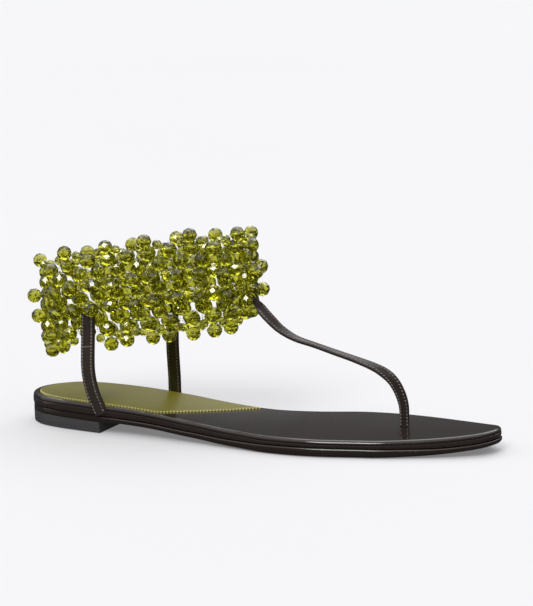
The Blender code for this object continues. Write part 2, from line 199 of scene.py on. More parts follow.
def grid_faces(rows: int, columns: int, wrap: bool) -> Faces:
    """Four-sided faces of a grid of points stored row by row.

    Args:
        rows: number of rows.
        columns: number of points in a row.
        wrap: whether the last point of a row joins its first.
    Returns:
        One row of four point numbers for each face.
    """
    number = np.arange(rows * columns).reshape(rows, columns)
    after = np.roll(number, -1, axis=1)
    low, low_after, high, high_after = number[:-1], after[:-1], number[1:], after[1:]
    faces = np.stack((low, low_after, high_after, high), axis=-1)
    return faces[:, :None if wrap else -1].reshape(-1, 4)


def repeated(block: Faces, count: int, size: int) -> Faces:
    """The faces of one copy, renumbered for every copy of so many points."""
    starts = (np.arange(count) * size)[:, None, None]
    return (block[None] + starts).reshape(-1, block.shape[1])


def rods(grid: Array) -> Shell:
    """Rods made of rings of points and closed at both ends.

    Args:
        grid: points by rod, by ring along it and by place around the ring.
    Returns:
        All rods as one shell.
    """
    count, length, around = grid.shape[:3]
    ring = np.arange(around)[None]
    blocks = (grid_faces(length, around, wrap=True), ring[:, ::-1], ring + around * (length - 1))
    return Shell(grid.reshape(-1, 3), [repeated(block, count, length * around) for block in blocks])


def unfolded(points: Array, corners: Faces) -> Shell:
    """A shell without the points that no face uses, and without faces that close to a line.

    Args:
        points: all points.
        corners: four-sided faces, some of which may repeat a corner.
    Returns:
        The same surface with triangles in place of such faces.
    """
    repeats = corners == np.roll(corners, -1, axis=1)
    folded = repeats.sum(axis=1) == 1
    whole = corners[~repeats.any(axis=1)]
    three = corners[folded][~repeats[folded]]
    used, flat = np.unique(np.concatenate((whole.ravel(), three)), return_inverse=True)
    return Shell(points[used], [flat[:whole.size].reshape(-1, 4), flat[whole.size:].reshape(-1, 3)])


def add_object(name: str, data: bpy.types.ID) -> bpy.types.Object:
    """A new object at the origin of the scene, with the data."""
    thing = bpy.data.objects.new(name, data)
    bpy.context.scene.collection.objects.link(thing)
    return thing


def make_piece(name: str, shell: Shell, material: bpy.types.Material,
               replaces: str | None = None, shading: Shading = Shading.SMOOTH,
               sharp: float = 40.0) -> None:
    """Put a shell in the scene as one piece that rides on the sandal.

    Args:
        name: the piece's plain name.
        shell: its points, faces and marks.
        material: its finish.
        replaces: the CAD node that the piece stands for, if any.
        shading: smooth, or faceted as cut glass.
        sharp: angle in degrees past which a smooth piece keeps an edge.
    """
    mesh = bpy.data.meshes.new(name)
    mesh.from_pydata((shell.points * MM).tolist(), [],
                     [face for block in shell.faces for face in block.tolist()])
    for mark, values in shell.marks.items():
        mesh.attributes.new(mark, "FLOAT", "POINT").data.foreach_set("value", values)
    mesh.update()
    if shading is Shading.SMOOTH:
        mesh.shade_smooth()
        mesh.set_sharp_from_angle(angle=math.radians(sharp))
    else:
        mesh.shade_flat()
    mesh.materials.append(material)
    piece = add_object(name, mesh)
    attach(piece, BODY)
    if replaces is not None:
        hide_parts(replaces)
    triangles = sum(len(polygon.vertices) - 2 for polygon in mesh.polygons)
    LOG.info("%s: %d triangles", name, triangles)


def feed(tree: bpy.types.NodeTree, node: bpy.types.Node, inputs: dict) -> None:
    """Set a node's inputs.

    Args:
        tree: the node's tree.
        node: the node.
        inputs: a constant or an output socket for each input, by name or number.
    """
    for key, value in inputs.items():
        if isinstance(value, bpy.types.NodeSocket):
            tree.links.new(value, node.inputs[key])
        else:
            node.inputs[key].default_value = value


def add_node(tree: bpy.types.NodeTree, kind: str, inputs: dict | None = None,
             **settings: object) -> bpy.types.Node:
    """Add one node with its settings, constant inputs and links.

    Args:
        tree: the material's node tree.
        kind: the node's type.
        inputs: a constant or an output socket for each input, by name or number.
        settings: the node's own options.
    Returns:
        The new node.
    """
    node = tree.nodes.new(kind)
    for option, value in settings.items():
        setattr(node, option, value)
    feed(tree, node, inputs or {})
    return node


def new_material(name: str) -> tuple[bpy.types.Material, bpy.types.NodeTree, bpy.types.Node]:
    """A material with only a Principled shader.

    Args:
        name: what the material is.
    Returns:
        The material, its node tree and its shader.
    """
    material = bpy.data.materials.new(name)
    material.use_nodes = True
    tree = material.node_tree
    return material, tree, tree.nodes["Principled BSDF"]


def per_metre(size: float) -> float:
    """The scale of a pattern that repeats every so many millimetres."""
    return 1.0 / (size * MM)


@dataclass(frozen=True)
class CutGlass:
    """Clear olive glass, pressed round and fire-polished on flat facets.

    Light goes through it, so it shows bright yellow-green windows, dark olive edges where the
    light is turned back inside, and small white mirror spots on the facets.
    """

    name: str = "cut_olive_glass"
    light: str = "#f4f4ea"
    deep: str = "#dddcbc"
    soaked: str = "#ebeb4c"       # what is left of white light after a long way through it
    density: float = 520.0        # share soaked up for each metre of that way
    roughness: float = 0.015
    ior: float = 1.58
    skin: float = 0.2             # weight of the polished skin, which mirrors a little more
    skin_ior: float = 1.6

    def build(self) -> bpy.types.Material:
        """The glass, a little lighter or deeper from bead to bead."""
        material, tree, shader = new_material(self.name)
        tone = add_node(tree, "ShaderNodeAttribute", attribute_name="tone")
        tint = add_node(tree, "ShaderNodeMix", {
            0: tone.outputs["Fac"], 6: linear(self.light), 7: linear(self.deep)}, data_type="RGBA")
        depth = add_node(tree, "ShaderNodeVolumeAbsorption", {
            "Color": linear(self.soaked), "Density": self.density})
        feed(tree, tree.nodes["Material Output"], {"Volume": depth.outputs[0]})
        feed(tree, shader, {
            "Base Color": tint.outputs[2], "Roughness": self.roughness, "IOR": self.ior,
            "Transmission Weight": 1.0, "Coat Weight": self.skin, "Coat IOR": self.skin_ior})
        return material


@dataclass(frozen=True)
class NylonLine:
    """Clear nylon line, drawn smooth: it hardly shows, apart from a thin bright streak."""

    name: str = "clear_nylon_line"
    light: str = "#e4e4bb"
    deep: str = "#cfd09c"
    wave: float = 3.0             # length in mm over which its tone changes
    roughness: float = 0.1
    ior: float = 1.53

    def build(self) -> bpy.types.Material:
        """The line, a little uneven in tone along its length."""
        material, tree, shader = new_material(self.name)
        place = add_node(tree, "ShaderNodeTexCoord").outputs["Object"]
        tone = add_node(tree, "ShaderNodeTexNoise", {
            "Vector": place, "Scale": per_metre(self.wave)})
        tint = add_node(tree, "ShaderNodeMix", {
            0: tone.outputs["Fac"], 6: linear(self.light), 7: linear(self.deep)}, data_type="RGBA")
        feed(tree, shader, {
            "Base Color": tint.outputs[2], "Roughness": self.roughness, "IOR": self.ior,
            "Transmission Weight": 1.0})
        return material


@dataclass(frozen=True)
class Leather:
    """Chrome-tanned leather with a pressed grain and a glazed top.

    It is nearly even in colour, with a fine pebble in the highlights and a soft gloss that
    mirrors what stands on it.
    """

    name: str
    colour: str
    worn: str
    roughness: float
    coat: float
    grain: float = 0.7            # size of a pebble in mm, coarser than real so that it shows
    depth: float = 0.03           # of the grain, in mm
    cloud: float = 18.0           # size of the patches of tone, in mm
    shine: float = 0.25           # of the leather under the glaze
    gloss: float = 0.16           # roughness of the glaze
    glaze: float = 1.5            # IOR of the glaze
    pores: tuple[float, float] = (-0.06, 0.08)   # least and most that they add to the roughness
    second: str | None = None     # colour where the mark below is 1
    mark: str = "edge"

    def build(self) -> bpy.types.Material:
        """The leather, read in Object coordinates so that the grain keeps its size."""
        material, tree, shader = new_material(self.name)
        place = add_node(tree, "ShaderNodeTexCoord").outputs["Object"]
        cloud = add_node(tree, "ShaderNodeTexNoise", {
            "Vector": place, "Scale": per_metre(self.cloud), "Detail": 4.0, "Roughness": 0.6})
        colour = add_node(tree, "ShaderNodeMix", {
            0: cloud.outputs["Fac"], 6: linear(self.colour), 7: linear(self.worn)},
            data_type="RGBA").outputs[2]
        if self.second is not None:
            share = add_node(tree, "ShaderNodeAttribute", attribute_name=self.mark).outputs["Fac"]
            colour = add_node(tree, "ShaderNodeMix", {0: share, 6: colour, 7: linear(self.second)},
                              data_type="RGBA").outputs[2]
        pebble = add_node(tree, "ShaderNodeTexVoronoi", {
            "Vector": place, "Scale": per_metre(self.grain)}, feature="SMOOTH_F1")
        pore = add_node(tree, "ShaderNodeTexNoise", {
            "Vector": place, "Scale": per_metre(self.grain * 3), "Detail": 6.0})
        height = add_node(tree, "ShaderNodeMath", {
            0: pebble.outputs["Distance"], 1: pore.outputs["Fac"]}, operation="ADD")
        bump = add_node(tree, "ShaderNodeBump", {
            "Height": height.outputs[0], "Distance": self.depth * MM, "Strength": 1.0})
        low, high = self.pores
        gloss = add_node(tree, "ShaderNodeMapRange", {
            "Value": pore.outputs["Fac"], "To Min": self.roughness + low,
            "To Max": self.roughness + high})
        feed(tree, shader, {
            "Base Color": colour, "Normal": bump.outputs["Normal"],
            "Roughness": gloss.outputs["Result"], "Specular IOR Level": self.shine,
            "Coat Weight": self.coat, "Coat Roughness": self.gloss, "Coat IOR": self.glaze})
        return material


@dataclass(frozen=True)
class LayeredEdge:
    """Leather board whose cut edge is inked and burnished, so that faint layers run round it.

    It is darker and plainer than the top leather, with a satin streak along each layer.
    """

    name: str
    colour: str
    worn: str
    roughness: float
    layer: float = 1.1            # height of one layer in mm
    depth: float = 0.05           # of the layers' relief, in mm
    drawn: float = 0.06           # size of a streak across the edge over that along it
    change: float = 0.1           # of the roughness from streak to streak
    shine: float = 0.3

    def build(self) -> bpy.types.Material:
        """The edge, with layers stacked in Z and broken up by noise drawn out along them."""
        material, tree, shader = new_material(self.name)
        place = add_node(tree, "ShaderNodeTexCoord").outputs["Object"]
        drawn = add_node(tree, "ShaderNodeMapping", {
            "Vector": place, "Scale": (self.drawn, self.drawn, 1.0)})
        streak = add_node(tree, "ShaderNodeTexNoise", {
            "Vector": drawn.outputs[0], "Scale": per_metre(self.layer), "Detail": 5.0,
            "Roughness": 0.65})
        tint = add_node(tree, "ShaderNodeMix", {
            0: streak.outputs["Fac"], 6: linear(self.colour), 7: linear(self.worn)},
            data_type="RGBA")
        bump = add_node(tree, "ShaderNodeBump", {
            "Height": streak.outputs["Fac"], "Distance": self.depth * MM, "Strength": 1.0})
        gloss = add_node(tree, "ShaderNodeMapRange", {
            "Value": streak.outputs["Fac"], "To Min": self.roughness - self.change,
            "To Max": self.roughness + self.change})
        feed(tree, shader, {
            "Base Color": tint.outputs[2], "Normal": bump.outputs["Normal"],
            "Roughness": gloss.outputs["Result"], "Specular IOR Level": self.shine})
        return material


@dataclass(frozen=True)
class Thread:
    """Waxed linen thread: its strands show as fine slanting stripes."""

    name: str
    colour: str
    dark: str
    roughness: float
    strand: float = 0.5           # width of a strand in mm
    half_waves: float = 6.0       # of the diagonal bands in one unit of the pattern, about

    def build(self) -> bpy.types.Material:
        """The thread, striped by a slanting wave."""
        material, tree, shader = new_material(self.name)
        place = add_node(tree, "ShaderNodeTexCoord").outputs["Object"]
        twist = add_node(tree, "ShaderNodeTexWave", {
            "Vector": place, "Scale": per_metre(self.strand) / self.half_waves,
            "Distortion": 1.0}, bands_direction="DIAGONAL")
        tint = add_node(tree, "ShaderNodeMix", {
            0: twist.outputs["Fac"], 6: linear(self.dark), 7: linear(self.colour)},
            data_type="RGBA")
        feed(tree, shader, {"Base Color": tint.outputs[2], "Roughness": self.roughness})
        return material


@dataclass(frozen=True)
class LitTable:
    """Opal acrylic lit a little from below: nearly even white with pale soft shadows."""

    name: str = "lit_opal_acrylic"
    colour: str = "#b9b9ba"
    shade: str = "#b6b6b8"
    roughness: float = 0.9
    shine: float = 0.1
    glow: float = 0.2
    patch: float = 400.0          # size of the patches of tone, in mm

    def build(self) -> bpy.types.Material:
        """The acrylic, with slow patches of tone."""
        material, tree, shader = new_material(self.name)
        place = add_node(tree, "ShaderNodeTexCoord").outputs["Object"]
        patch = add_node(tree, "ShaderNodeTexNoise", {
            "Vector": place, "Scale": per_metre(self.patch)})
        tint = add_node(tree, "ShaderNodeMix", {
            0: patch.outputs["Fac"], 6: linear(self.colour), 7: linear(self.shade)},
            data_type="RGBA")
        feed(tree, shader, {
            "Base Color": tint.outputs[2], "Roughness": self.roughness,
            "Specular IOR Level": self.shine, "Emission Color": linear(WHITE),
            "Emission Strength": self.glow})
        return material


@dataclass
class Last:
    """The shape that the sole is built on, as cross-sections from heel to toe.

    Columns of the sections: share of the length, offset of the middle towards the medial side,
    half width, height of the insole's top edge, thickness of the insole and of the outsole.
    """

    length: float = 257.0
    gap: float = 0.3
    sections: tuple[tuple[float, ...], ...] = (
        (0.000, 5.6, 0.0, 15.0, 5.5, 2.8),
        (0.020, 5.6, 15.0, 15.0, 5.5, 2.8),
        (0.060, 5.4, 23.8, 15.0, 5.5, 2.8),
        (0.120, 4.2, 27.6, 14.9, 5.5, 2.8),
        (0.200, 1.6, 28.8, 14.6, 5.4, 2.8),
        (0.300, -1.3, 28.0, 13.4, 5.2, 2.8),
        (0.400, -4.4, 28.4, 11.2, 5.0, 3.0),
        (0.500, -6.2, 31.0, 9.3, 4.6, 3.6),
        (0.580, -4.9, 36.0, 8.7, 4.1, 4.3),
        (0.680, 0.0, 40.3, 8.7, 3.8, 4.6),
        (0.780, 4.0, 37.2, 8.7, 3.9, 4.5),
        (0.860, 5.2, 30.2, 9.3, 4.4, 3.9),
        (0.920, 5.4, 22.9, 10.2, 4.8, 3.2),
        (0.960, 5.6, 16.6, 11.1, 4.8, 2.9),
        (0.985, 5.8, 11.4, 11.9, 4.7, 2.8),
        (1.000, 6.0, 0.0, 12.4, 4.7, 2.7),
    )

    def __post_init__(self) -> None:
        """Work out one smooth curve for each column; the half width is carried squared."""
        share, centre, half_width, seat, insole, outsole = np.array(self.sections).T
        self.centre = smooth_curve(share, centre)
        self.half_width_squared = smooth_curve(share, half_width ** 2)
        self.seat = smooth_curve(share, seat)
        self.insole = smooth_curve(share, insole)
        self.outsole = smooth_curve(share, outsole)

    def share(self, x: Array) -> Array:
        """Share of the sole's length at places along X."""
        return x / self.length + 0.5

    def insole_bottom(self, share: Array) -> Array:
        """Height of the insole's lower face."""
        return self.seat(share) - self.insole(share)

    def outsole_top(self, share: Array) -> Array:
        """Height of the outsole's upper face."""
        return self.insole_bottom(share) - self.gap

    def outsole_bottom(self, share: Array) -> Array:
        """Height of the outsole's lower face."""
        return self.outsole_top(share) - self.outsole(share)

    def rim(self, turns: Array) -> Array:
        """Plan points of the outline: half a cosine along X, the half width to either side.

        Args:
            turns: 0 at the heel, pi at the toe, the lateral side first.
        Returns:
            X and Y of each point.
        """
        share = (1 - np.cos(turns)) / 2
        half_width = np.sqrt(np.maximum(self.half_width_squared(share), 0))
        return np.stack(((share - 0.5) * self.length,
                         self.centre(share) - np.sign(np.sin(turns)) * half_width), axis=-1)

    def outline(self, turns: Array, inset: Array | float) -> Array:
        """Outline points moved in square to the outline.

        Args:
            turns: as in rim.
            inset: distance inwards, one for all or one for each point.
        Returns:
            X and Y of each point.
        """
        small = 0.01
        along = unit(self.rim(turns + small) - self.rim(turns - small))
        inward = np.stack((-along[:, 1], along[:, 0]), axis=-1)
        return self.rim(turns) + np.asarray(inset)[..., None] * inward

    def turn(self, share: float) -> float:
        """The turn around the outline at a share of its length, on the lateral side."""
        return math.acos(1 - 2 * share)


@dataclass
class Sole:
    """Insole, outsole and heel block.

    The tables in the methods give each ring's inset and its rise or drop, in millimetres.
    """

    last: Last
    points: int = 360             # around the edge of a layer
    roll: float = 1.8             # radius of the insole's top edge
    crease: float = 0.55          # depth of the crease under it
    belly: float = 0.12           # how far the insole's side stands out half-way up
    dish: float = 0.5             # depth of the insole's top on the middle line
    lip: float = 0.5              # how far the outsole stands past the insole
    step: float = 0.35            # how far it lies inside the insole over the heel
    cover: float = 1.2            # inset of its flat top
    heel_share: float = 0.194     # share of the length over the heel block
    heel_under: float = 0.12      # share of the outsole's rounding that is left there
    heel_taper: float = 0.6
    heel_points: int = 120        # around the back of the heel block
    front_points: int = 30        # across its front face
    spine: float = 0.94           # length of the faces' middle line over that of the edge

    def seat_height(self, share: Array, part: Array | float) -> Array:
        """Top of the insole, dished from its edge, part 1, to the middle line, part 0."""
        return self.last.seat(share) - self.dish * (1 - np.asarray(part) ** 2)

    def layer(self, levels: Levels, parts: Array, low: Callable[[Array, float], Array],
              high: Callable[[Array, float], Array]) -> Shell:
        """A sole-shaped layer: rings up its edge, and rings in to the middle line on both faces.

        A ring of a face lies at a part of the way from the middle line to the edge's own ring.

        Args:
            levels: inset and height of each ring of the edge, from the bottom up.
            parts: parts of the way for the faces' rings, falling from near 1 to 0.
            low: height of the lower face at a share and a part.
            high: height of the upper face at a share and a part.
        Returns:
            A closed shell.
        """
        turns = np.linspace(0, 2 * math.pi, self.points, endpoint=False)
        share = (1 - np.cos(turns)) / 2
        edge = [self.last.outline(turns, inset(share) if callable(inset) else inset)
                for inset, _ in levels]
        rings = [np.column_stack((plan, height(self.last.share(plan[:, 0]))))
                 for plan, (_, height) in zip(edge, levels)]

        def face_rings(plan: Array, height: Callable[[Array, float], Array]) -> list[Array]:
            """Rings from an edge ring in to the middle line."""
            middle_x = plan[:, 0] * self.spine
            middle = np.stack((middle_x, self.last.centre(self.last.share(middle_x))), axis=-1)
            plans = [middle + (plan - middle) * part for part in parts]
            return [np.column_stack((p, height(self.last.share(p[:, 0]), part)))
                    for p, part in zip(plans, parts)]

        rings = face_rings(edge[0], low)[::-1] + rings + face_rings(edge[-1], high)
        faces = grid_faces(len(rings), self.points, wrap=True)
        number = np.arange(len(rings) * self.points).reshape(len(rings), self.points)
        twin = np.minimum(np.arange(self.points), -np.arange(self.points) % self.points)
        number[0], number[-1] = number[0][twin], number[-1][twin]
        return unfolded(np.vstack(rings), number.reshape(-1)[faces])

    def insole_shell(self) -> Shell:
        """The wrapped insole: a short undercut, an upright edge and a quarter-round top edge.

        A crease under the round parts the padded top from the board below it.
        """
        last, roll, crease = self.last, self.roll, self.crease
        undercut = ((0.8, 0.0), (0.25, 0.12), (0.0, 0.5))
        seam = ((-0.1, 0.72), (0.05, 0.58), (crease, 0.4), (crease, 0.28), (0.05, 0.1))
        levels: Levels = [(inset, lambda s, h=rise: last.insole_bottom(s) + h)
                          for inset, rise in undercut]
        levels.append((-self.belly,
                       lambda s: last.insole_bottom(s) + (last.insole(s) - roll) / 2))
        levels += [(inset, lambda s, h=drop: last.seat(s) - roll - h) for inset, drop in seam]
        levels += [(roll * (1 - math.cos(a)),
                    lambda s, a=a: last.seat(s) - roll * (1 - math.sin(a)))
                   for a in np.linspace(0, math.pi / 2, 8)]
        return self.layer(levels, np.array([0.97, 0.9, 0.78, 0.6, 0.4, 0.2, 0.0]),
                          lambda s, part: last.insole_bottom(s), self.seat_height)

    def under(self, share: Array) -> Array:
        """How far the outsole is rounded under: fully in front of the heel, hardly over it."""
        in_front = ramp(share, self.heel_share, self.heel_share + 0.03)
        return self.heel_under + (1 - self.heel_under) * in_front

    def welt(self, share: Array) -> Array:
        """How far the outsole's welt is let out: not at all over the heel, fully in front of it."""
        return ramp(share, self.heel_share - 0.01, self.heel_share + 0.03)

    def outsole_shell(self) -> Shell:
        """The outsole: rounded under, upright, with a narrow welt that stands past the insole.

        Over the heel it has no welt and lies in under the insole by the step.
        """
        last, under, welt = self.last, self.under, self.welt

        def edge(share: Array) -> Array:
            """Inset of the upright part of the edge."""
            return self.step - (self.step + self.lip) * welt(share)

        bend = ((1.9, 0.0), (1.1, 0.2), (0.5, 0.65), (0.12, 1.2), (0.0, 1.7))
        levels: Levels = [
            (lambda s, i=inset: i * under(s) + edge(s),
             lambda s, h=rise: last.outsole_bottom(s) + h * under(s)) for inset, rise in bend]
        bevel = ((0.0, 0.8), (0.12, 0.42), (0.38, 0.14), (0.75, 0.01))
        levels += [
            (lambda s, i=inset: i * welt(s) + edge(s),
             lambda s, h=drop: last.outsole_top(s) - h) for inset, drop in bevel]
        levels.append((self.cover, last.outsole_top))
        return self.layer(levels, np.array([0.96, 0.8, 0.5, 0.0]),
                          lambda s, part: last.outsole_bottom(s),
                          lambda s, part: last.outsole_top(s))

    def heel_shell(self) -> Shell:
        """The heel block: the outline's back part closed by a straight front face."""
        last, taper, step = self.last, self.heel_taper, self.step

        def top(share: Array) -> Array:
            """Height of the block's upper face, a gap below the outsole."""
            return last.outsole_bottom(share) - last.gap

        foot = ((0.5, 0.0), (0.12, 0.12), (0.0, 0.5))
        levels = [(taper + inset, lambda s, h=rise: np.full_like(s, h)) for inset, rise in foot]
        levels += [(0.75 * step + 0.25 * taper, lambda s: 0.7 * top(s)),
                   (step, lambda s: top(s) - 0.15),
                   (step + 0.5, top)]
        reach = last.turn(self.heel_share)
        turns = np.linspace(-reach, reach, self.heel_points)
        front = np.linspace(0, 1, self.front_points)[1:-1, None]
        rings = []
        for inset, height in levels:
            back = last.outline(turns, inset)
            plan = np.vstack((back, back[-1] + (back[0] - back[-1]) * front))
            rings.append(np.column_stack((plan, height(last.share(plan[:, 0])))))
        return rods(np.stack(rings)[None])

    def build(self) -> None:
        """Make the three pieces and dress them."""
        calf = Leather("glazed_brown_calf", "#211a18", "#2a211e", 0.24, 0.8, depth=0.007,
                       shine=0.05, gloss=0.07, glaze=1.6)
        sole_leather = LayeredEdge("burnished_sole_leather", "#17110e", "#251b16", 0.22, shine=0.7)
        board = LayeredEdge("stacked_heel_board", "#333334", "#424243", 0.42, layer=1.6)
        make_piece("insole_wrap", self.insole_shell(), calf.build(), "insole")
        make_piece("outsole_edge", self.outsole_shell(), sole_leather.build(), "outsole")
        make_piece("heel_lift", self.heel_shell(), board.build(), "heel_block")


@dataclass
class HeelSock:
    """Thin olive leather on the heel half of the insole, cut off on a slant and pinked."""

    sole: Sole
    inset: float = 4.0            # from the insole's edge
    thickness: float = 0.8
    glue: float = 0.02
    lateral_share: float = 0.315  # where the slanting cut starts and ends along the sole
    medial_share: float = 0.468
    rungs: int = 110
    across: int = 48
    near_cut: tuple[float, ...] = (0.006, 0.0024, 0.001, 0.0)   # last rungs, in shares
    near_side: tuple[float, ...] = (0.0, 0.25, 0.55, 1.2)       # first points of a rung, in mm
    edge: float = 0.55            # width of the border that is rounded off
    cut: float = 0.45             # share of the thickness that is left at the cut edge
    pale: float = 0.2             # how much of the cut's colour the border takes
    tooth: float = 1.9            # from tooth to tooth
    tooth_half: float = 0.3       # half the width of a tooth over that
    tooth_rise: tuple[float, ...] = (0.9, 0.75, 0.9)            # of its corners, in thicknesses
    bite: float = 0.5             # how far a tooth stands out
    root: float = 0.3             # how deep it is rooted in the sheet

    def ground(self, plan: Array) -> Array:
        """Height of the insole under plan points, with a hair of glue."""
        last = self.sole.last
        share = last.share(plan[..., 0])
        half_width = np.sqrt(np.maximum(last.half_width_squared(share), 1.0))
        out = np.clip(np.abs(plan[..., 1] - last.centre(share)) / half_width, 0, 1)
        return self.sole.seat_height(share, out) + self.glue

    def teeth(self, border: Array) -> Shell:
        """The pinked edge: an upright three-sided prism for each tooth, rooted in the sheet.

        Args:
            border: X and Y of the sheet's border in order, lateral side first.
        Returns:
            All teeth as one shell with the mark edge.
        """
        loop = np.vstack((border, border[:1]))
        lengths = lengths_along(loop)
        count = round(lengths[-1] / self.tooth)
        middle = np.arange(count) * lengths[-1] / count
        before, after = np.clip((middle - self.root, middle + self.root), 0, lengths[-1])
        along = unit(rows_at(loop, lengths, after) - rows_at(loop, lengths, before))
        outward = np.stack((along[:, 1], -along[:, 0]), axis=-1)
        root = rows_at(loop, lengths, middle) - self.root * outward
        half = self.tooth_half * self.tooth * along
        tip = root + (self.root + self.bite) * outward
        plan = np.stack((root - half, tip, root + half), axis=1)
        ground = self.ground(plan)
        rise = self.thickness * np.array(self.tooth_rise)
        corners = np.concatenate((np.dstack((plan, ground)),
                                  np.dstack((plan, ground + rise))), axis=1)
        ends = np.array([[0, 2, 1], [3, 4, 5]])
        walls = np.array([[0, 1, 4, 3], [1, 2, 5, 4], [2, 0, 3, 5]])
        return Shell(corners.reshape(-1, 3), [repeated(block, count, 6) for block in (ends, walls)],
                     {"edge": np.ones(count * 6)})

    def shell(self) -> Shell:
        """Rungs from the lateral to the medial edge, raised by the leather's thickness.

        The height falls off along a quarter round in the last half millimetre to the cut edge.

        Returns:
            A closed thin sheet and its teeth, with the mark edge, 1 on the cut edge.
        """
        last = self.sole.last
        spread = (1 - np.cos(np.linspace(0.03, math.pi / 2, self.rungs))) ** 0.5
        spread = np.append(spread[:-3], 1 - np.array(self.near_cut))
        lateral = last.outline(spread * last.turn(self.lateral_share), self.inset)
        medial = last.outline(2 * math.pi - spread * last.turn(self.medial_share), self.inset)
        width = np.linalg.norm(medial - lateral, axis=1)[:, None]
        side = self.near_side[-1]
        inner = np.linspace(0, 1, self.across)[None, 1:-1] * (width - 2 * side) + side
        outer = np.minimum(np.array(self.near_side), width / 3)
        reach = np.hstack((outer, inner, width - outer[:, ::-1]))
        part = (reach / width)[:, :, None]
        plan = lateral[:, None, :] * (1 - part) + medial[:, None, :] * part
        ground = self.ground(plan)
        from_side = np.minimum(reach, width - reach)
        from_front = np.linalg.norm(plan[-1:] - plan, axis=2)
        from_back = np.linalg.norm(plan - plan[:1], axis=2) + 0.1
        away = np.minimum(np.minimum(from_side, from_front), from_back) / self.edge
        round_off = np.sqrt(1 - (1 - np.clip(away, 0, 1)) ** 2)
        rise = self.thickness * (self.cut + (1 - self.cut) * round_off)
        top = np.dstack((plan, ground + rise))
        bottom = np.dstack((plan, ground))
        rows, columns = part.shape[:2]
        number = np.arange(rows * columns).reshape(rows, columns)
        border = np.concatenate((number[0], number[1:-1, -1], number[-1, ::-1], number[-2:0:-1, 0]))
        after = np.roll(border, -1)
        count = rows * columns
        face = grid_faces(rows, columns, wrap=False)
        faces = [face, face[:, ::-1] + count,
                 np.stack((after, border, border + count, after + count), axis=-1)]
        mark = self.pale * ramp(away, 0.625, 0).ravel()
        sheet = Shell(np.vstack((top.reshape(-1, 3), bottom.reshape(-1, 3))),
                      [block[:, ::-1] for block in faces],
                      {"edge": np.concatenate((mark, np.zeros(count)))})
        border = np.concatenate((plan[:, 0], plan[-1, 1:-1], plan[::-1, -1]))
        return Shell.joined([sheet, self.teeth(border)])

    def build(self) -> None:
        """Make the sock and dress it."""
        olive = Leather("olive_lining_leather", "#676112", "#726c18", 0.34, 0.2, grain=0.9,
                        depth=0.02, gloss=0.25, second="#c4bd7a")
        make_piece("heel_sock_lining", self.shell(), olive.build(), "heel_sock")


@dataclass
class CuffPlan:
    """The slack band that the beads are woven into: a superellipse that tilts and rolls."""

    centre: tuple[float, float] = (-62.2, 2.0)
    half_length: float = 56.3
    half_width: float = 19.0
    roundness: float = 2.3        # power of the superellipse: 2 is an ellipse, more is blunter
    height: float = 33.9          # between the middles of the outer rows
    mid_height: float = 70.8
    tilt: float = 0.189           # rise towards the front, for each millimetre
    roll: float = 0.14            # rise towards the lateral side, likewise
    columns: int = 22
    rows: int = 3
    phase: float = 0.374          # columns from the front to the first knot
    bulge: float = 1.1            # of the whole band behind the heel
    flare: float = 1.2            # of its top edge there
    crown: float = 2.4            # rise of the top edge along both sides

    def plan(self, angle: Array, power: float) -> tuple[Array, Array]:
        """Cosine and sine, each raised to a power with its sign kept."""
        cosine, sine = np.cos(angle), np.sin(angle)
        return np.sign(cosine) * np.abs(cosine) ** power, np.sign(sine) * np.abs(sine) ** power

    def angle(self, column: Array) -> Array:
        """Angle at each column, by length along the band from the front to the lateral side."""
        angles = np.linspace(0, 2 * math.pi, 1441)
        cosine, sine = self.plan(angles, 2 / self.roundness)
        lengths = lengths_along(np.stack((cosine * self.half_length, sine * self.half_width), -1))
        return np.interp(column / self.columns % 1.0 * lengths[-1], lengths, angles)

    def point(self, column: Array, level: Array, out: Array | float = 0.0) -> Array:
        """Points of the band's middle surface, moved out along its normal.

        The band bulges a little behind the heel, where its top edge leans back, and the top
        edge stands a little higher along both sides than at the ends.

        Args:
            column: place around the band.
            level: 0 on the bottom row of beads, 1 on the top row.
            out: distance outwards.
        Returns:
            One point for each column.
        """
        cosine, sine = self.plan(self.angle(column), 2 / self.roundness)
        ahead, aside = self.half_length * cosine, self.half_width * sine
        level = np.asarray(level)
        lean = (self.bulge + self.flare * ramp(level, 0.6, 1.0)) * ramp(cosine, -0.5, -1.0)
        rise = self.crown * level * ramp(cosine, -0.95, -0.55) * ramp(cosine, 0.9, 0.4)
        z = (self.mid_height + self.tilt * ahead + self.roll * aside
             + self.height * (level - 0.5) + rise)
        base = np.stack((self.centre[0] + ahead - lean, self.centre[1] - aside, z), axis=-1)
        return base + np.asarray(out)[..., None] * self.normal(column)

    def normal(self, column: Array) -> Array:
        """Outward normals: the superellipse's gradient, level with the floor."""
        cosine, sine = self.plan(self.angle(column), 2 - 2 / self.roundness)
        return unit(np.stack((cosine / self.half_length, -sine / self.half_width,
                              np.zeros_like(cosine)), axis=-1))

    def along(self, column: Array) -> Array:
        """Directions along the band, towards higher columns."""
        small = 0.02
        return unit(self.point(column + small, np.zeros_like(column))
                    - self.point(column - small, np.zeros_like(column)))


class Facing(Enum):
    """What a strap's broad face turns to along its path."""

    SIDEWAYS = "sideways at the sole, then out of the cuff"
    UPWARD = "up on the instep, then sideways between the toes"


